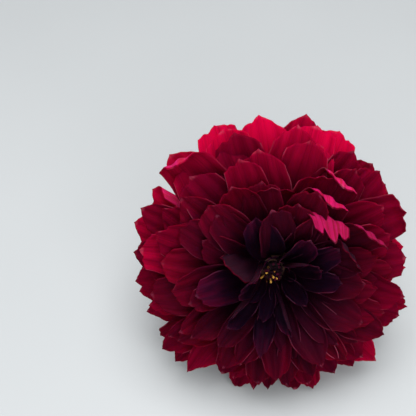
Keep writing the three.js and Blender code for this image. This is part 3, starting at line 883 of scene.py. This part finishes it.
# %% Grow the eye
DOME = [(0, 15.3), (4.2, 15.3), (4.2, 16.2), (3.4, 16.8), (2.1, 17.3), (0, 17.5)]
florets = grow("disc_florets_fine", floret_grower, points_with_traits("floret_plan", [{}]), {
    "Count": 34, "Spacing": 0.68 * MM, "Radius": 0.55 * MM, "Length": 2.6 * MM, "Flare": 0.5,
    "Lean": 0.35, "Crown": 17.0 * MM, "Seed": 3.0, "Material": floret_finish,
})
add_body(florets, turned_mesh("dome", DOME, 32), dome_flesh)
belongs(florets, "disc_florets")
anthers = grow("disc_anthers_fine", floret_grower, points_with_traits("anther_plan", [{}]), {
    "Count": 8, "Spacing": 1.2 * MM, "Radius": 0.42 * MM, "Length": 3.2 * MM, "Flare": 0.3,
    "Lean": 1.2, "Crown": 17.4 * MM, "Shift East": -1.5 * MM, "Shift North": -1.9 * MM, "Seed": 8.0,
    "Material": anther_finish,
})
belongs(anthers, "disc_anthers")

# %% [markdown]
# Behind the petals a dahlia has two rings of bracts: an inner one, thin and papery, that cups the head, and
# an outer one of fleshy green leaflets that bend back towards the stem. They are blades too, so the petals'
# tree grows them from their own traits.

# %% The bracts' traits
BRACT_RINGS = {
    "papery": dict(count=8, length=19, width=13, rise_root=-20, rise_tip=-42, cup=24, root_radius=11.2,
                   root_height=-2.1, point=0.2),
    "leafy": dict(count=6, length=21, width=8, rise_root=-34, rise_tip=-86, cup=20, root_radius=7,
                  root_height=-5.2, point=0.35),
}


def bract_traits(k, ring):
    """The traits of bract k of a ring, under the names that the petals' tree reads."""
    return {
        **dict.fromkeys(TRAITS, 0.0),
        **{trait: ring[trait] * MM for trait in ("root_radius", "root_height", "width")},
        **{trait: radians(ring[trait]) for trait in ("rise_root", "cup")},
        "azimuth": (k + 0.12 * wobble(k, 1)) * 2 * pi / ring["count"],
        "length": ring["length"] * (1 + 0.08 * wobble(k, 2)) * MM,
        "rise_tip": radians(ring["rise_tip"] + 6 * wobble(k, 5)),
        "hook_start": UNTURNED["hook_start"],
        "roll": radians(5) * wobble(k, 7),
        "twist": radians(8) * wobble(k, 8),
        "sway": 0.05 * wobble(k, 9),
        "point": ring["point"],
        "narrowing": 0.42,
        "clearance": 1 * MM,
        "seed": wobble(k, 12) / 2 + 0.5,
    }


print("bracts:", {name: ring["count"] for name, ring in BRACT_RINGS.items()})


# %% The skins of the bracts
def bract_material(name, front, back, veins_colour, thinness):
    """Green skin with paler veins and a reddish tip. A thin bract lets more light through."""
    material, tree, shader = shader_tree(name)
    veins, mottle = streaks(tree, 1.5, 26), streaks(tree, 3.0, 4.0)
    face = mix_colours(tree, mottle.ease(0.3, 0.7), back, front)
    veined = mix_colours(tree, veins.ease(0.5, 0.7) * 0.6, face, veins_colour)
    tip = attribute_field(tree, "blade_uv", 0).ease(0.75, 1.05) * 0.6
    fill_inputs(tree, shader, {
        "Base Color": mix_colours(tree, tip, veined, (0.11, 0.045, 0.03)),
        "Normal": bump(tree, veins + 0.5 * mottle, 0.5, 0.0004),
        "Roughness": 0.55,
        "Specular IOR Level": 0.3,
        "Subsurface Weight": thinness,
        "Subsurface Radius": (0.6, 0.8, 0.2),
        "Subsurface Scale": 0.002,
    })
    return material


bract_skins = {
    "papery": bract_material(
        "papery_bract", (0.21, 0.17, 0.075), (0.13, 0.12, 0.045), (0.26, 0.22, 0.12), thinness=0.3),
    "leafy": bract_material(
        "leafy_bract", (0.075, 0.13, 0.028), (0.045, 0.085, 0.020), (0.11, 0.18, 0.05), thinness=0.1),
}
green_flesh = flesh_material(
    "green_flesh", (0.050, 0.095, 0.022), (0.085, 0.14, 0.034), scale=260, roughness=0.5)
print("bract skins:", ", ".join(m.name for m in bract_skins.values()))

# %% Grow the bracts and the green base
BRACT_GRID = (26, 15)
RING_PROFILE = [(9, -3.1), (11.6, -3.1), (12.2, -2.2), (12.2, -1.2), (9, -1.2)]
BASE_PROFILE = [
    (0, -9.6), (3.2, -9.6), (4.6, -9.0), (6.6, -7.4), (8.0, -5.6), (8.6, -4.0), (8.6, -1.2), (0, -1.2)]


def grow_bracts(name, ring_name, thickness):
    ring = BRACT_RINGS[ring_name]
    rows = [bract_traits(k, ring) for k in range(ring["count"])]
    return grow_blades(name, rows, BRACT_GRID, thickness, bract_skins[ring_name])


papery = grow_bracts("bracts_papery_fine", "papery", 0.35 * MM)
add_body(papery, turned_mesh("bract_ring", RING_PROFILE, 48), green_flesh)
belongs(papery, "bracts_papery")
leafy = grow_bracts("base_fine", "leafy", 0.8 * MM)
add_body(leafy, turned_mesh("green_base", BASE_PROFILE, 60, ribs=12, rib_depth=0.018), green_flesh)
belongs(leafy, "base_with_leafy_bracts")

# %% [markdown]
# The cut stem is a ribbed, hollow tube that follows a gentle line from the green base down to the table. A
# curve object with a round bevel would come out smooth. A curve through a few bends, resampled evenly and
# swept with a ribbed circle, gives the ribs too, in one tree. The cut end is then opened in the mesh,
# because a dahlia's stem is hollow.

# %% The stem's route
STEM_RADIUS = 2.85 * MM
STEM_HOLLOW = 1.5 * MM
STEM_CUT_DEPTH = 5 * MM
STEM_SIDES = 56
STEM_RIBS = 7
STEM_START = in_head(0, 0, -9.9 * MM)
STEM_BENDS = ((0.5, -1, 39.6), (2, 32, 24), (3.6, 62, 10.2), (4.2, 80, 4.2), (4.4, 94, 2.85))
print("the stem starts at", [round(v / MM, 1) for v in STEM_START], "mm")


# %% The tree that sweeps the stem
def stem_tree():
    tree, given = open_tree("stem_sweeper", sizes=("Radius", "Rib Depth", "Step"))
    line = add_node(tree, "GeometryNodeMeshToCurve", {"Mesh": given["Geometry"]})
    rounded = add_node(
        tree, "GeometryNodeCurveSplineType", {"Curve": line.outputs["Curve"]}, spline_type="CATMULL_ROM")
    stepped = add_node(tree, "GeometryNodeResampleCurve", {
        "Curve": rounded.outputs["Curve"], "Length": given["Step"]}, mode="LENGTH")
    circle = add_node(tree, "GeometryNodeCurvePrimitiveCircle", {
        "Resolution": STEM_SIDES, "Radius": given["Radius"]})
    x, y, z = split_xyz(tree, tree.nodes.new("GeometryNodeInputPosition").outputs[0])
    swell = 1 + Field(tree, given["Rib Depth"]) * ((y.math("ARCTAN2", x) * STEM_RIBS).cos() - 1)
    ribbed = move_to(tree, circle.outputs["Curve"], join_xyz(tree, x * swell, y * swell, z))
    swept = add_node(tree, "GeometryNodeCurveToMesh", {
        "Curve": stepped.outputs["Curve"], "Profile Curve": ribbed, "Fill Caps": True})
    close_tree(tree, swept.outputs["Mesh"], given["Material"])
    return tree


# %% The cut end and the skin of the stem
def open_cut_end(mesh, wall, depth):
    """Sinks a hole into the cap that is furthest from the flower."""
    body = bmesh.new()
    body.from_mesh(mesh)
    caps = [face for face in body.faces if len(face.verts) > 4]
    cap = max(caps, key=lambda face: face.calc_center_median().y)
    inward = -cap.normal.copy()
    cap.smooth = False
    bmesh.ops.inset_region(body, faces=[cap], thickness=wall, use_even_offset=False)
    sunk = bmesh.ops.extrude_discrete_faces(body, faces=[cap])["faces"]
    bmesh.ops.translate(body, verts=sunk[0].verts, vec=inward * depth)
    bmesh.ops.recalc_face_normals(body, faces=body.faces)
    body.to_mesh(mesh)
    body.free()


def stem_material():
    """Green skin with a purple flush towards the head and fine lines along it."""
    material, tree, shader = shader_tree("stem_skin")
    x, y, z = split_xyz(tree, object_place(tree))
    line = noise_field(tree, join_xyz(tree, x * 1600, y * 60, z * 1600), 1.0, 4)
    green = mix_colours(tree, line.ease(0.35, 0.65), (0.060, 0.105, 0.024), (0.115, 0.17, 0.045))
    flush = (-y).ease(-0.05, 0.02) * 0.45
    fill_inputs(tree, shader, {
        "Base Color": mix_colours(tree, flush, green, (0.075, 0.03, 0.03)),
        "Normal": bump(tree, line, 0.4, 0.0003),
        "Roughness": 0.45,
        "Specular IOR Level": 0.35,
    })
    return material


# %% Grow the stem
route = bpy.data.meshes.new("stem_route")
bends = [STEM_START] + [Vector(bend) * MM for bend in STEM_BENDS]
route.from_pydata(bends, [(i, i + 1) for i in range(len(bends) - 1)], [])
stem = grow("stem_fine", stem_tree(), route, {
    "Radius": STEM_RADIUS, "Rib Depth": 0.035, "Step": 1.6 * MM, "Material": stem_material(),
})
open_cut_end(stem.data, STEM_RADIUS - STEM_HOLLOW, STEM_CUT_DEPTH)
belongs(stem, "stem")

# %% [markdown]
# The flower lies on a plain pale table. A large light hangs almost straight above it, and a wider one stands
# far in front and fills the shade. Small lamps would draw hard shadows and glare on the velvety petals, and
# these two keep both soft.

# %% Table and light
TABLE_SIZE = 3
HEAD_CENTRE = HEAD_PLACE + Vector((0, -12, 0)) * MM
LIGHTS = {
    "window": dict(place=(-0.02, -0.12, 1.2), size=0.9, power=21),
    "room": dict(place=(0.2, -1.8, 1.0), size=2.4, power=48),
}
WORLD_COLOUR = (0.93, 0.96, 0.98, 1)
WORLD_STRENGTH = 0.28


def flat_plane(name, size):
    mesh = bpy.data.meshes.new(name)
    half = size / 2
    corners = [(-half, -half, 0), (half, -half, 0), (half, half, 0), (-half, half, 0)]
    mesh.from_pydata(corners, [], [(0, 1, 2, 3)])
    plane = bpy.data.objects.new(name, mesh)
    bpy.context.scene.collection.objects.link(plane)
    return plane


def table_material():
    material, tree, shader = shader_tree("pale_table")
    cloudy = noise_field(tree, object_place(tree), 6)
    tint = mix_colours(tree, cloudy, (0.37, 0.386, 0.395), (0.40, 0.416, 0.425))
    fill_inputs(tree, shader, {"Base Color": tint, "Roughness": 0.55})
    return material


def area_light(name, place, size, power):
    """A square light that points at the middle of the head."""
    data = bpy.data.lights.new(name, "AREA")
    data.shape = "SQUARE"
    data.size = size
    data.energy = power
    light = bpy.data.objects.new(name, data)
    light.location = place
    light.rotation_euler = (HEAD_CENTRE - Vector(place)).to_track_quat("-Z", "Y").to_euler()
    bpy.context.scene.collection.objects.link(light)


table = flat_plane("table", TABLE_SIZE)
table.data.materials.append(table_material())
for name, light in LIGHTS.items():
    area_light(name, **light)
world = bpy.data.worlds.new("soft_room")
world.use_nodes = True
background = world.node_tree.nodes["Background"]
fill_inputs(world.node_tree, background, {"Color": WORLD_COLOUR, "Strength": WORLD_STRENGTH})
bpy.context.scene.world = world
bpy.context.scene.view_settings.view_transform = "Standard"
print("lights:", ", ".join(LIGHTS))

# %% [markdown]
# The camera looks down at the flower as a person at the table does. It doesn't aim at the head's middle,
# because the head lies low and to the right in the frame: it is moved sideways and up until the aim point
# falls on its pixel.

# %% Camera
IMAGE_SIZE = 416
FOCAL_PIXELS = 869
CAMERA_ELEVATION = radians(48)
CAMERA_DISTANCE = 0.42
SENSOR_WIDTH = 36
AIM_POINT = HEAD_PLACE + Vector((0, -10, 0)) * MM
AIM_PIXEL = (272, 270)
camera_data = bpy.data.cameras.new("camera")
camera_data.sensor_width = SENSOR_WIDTH
camera_data.lens = SENSOR_WIDTH * FOCAL_PIXELS / IMAGE_SIZE
camera = bpy.data.objects.new("camera", camera_data)
bpy.context.scene.collection.objects.link(camera)
bpy.context.scene.camera = camera
forward = Vector((0, cos(CAMERA_ELEVATION), -sin(CAMERA_ELEVATION)))
upward = Vector((0, sin(CAMERA_ELEVATION), cos(CAMERA_ELEVATION)))
right = Vector((1, 0, 0))
aside, down = ((pixel - IMAGE_SIZE / 2) / FOCAL_PIXELS * CAMERA_DISTANCE for pixel in AIM_PIXEL)
camera.location = AIM_POINT - CAMERA_DISTANCE * forward - aside * right + down * upward
camera.rotation_euler = (pi / 2 - CAMERA_ELEVATION, 0, 0)
print("the camera stands", round(camera.location.z, 3), "m over the table")
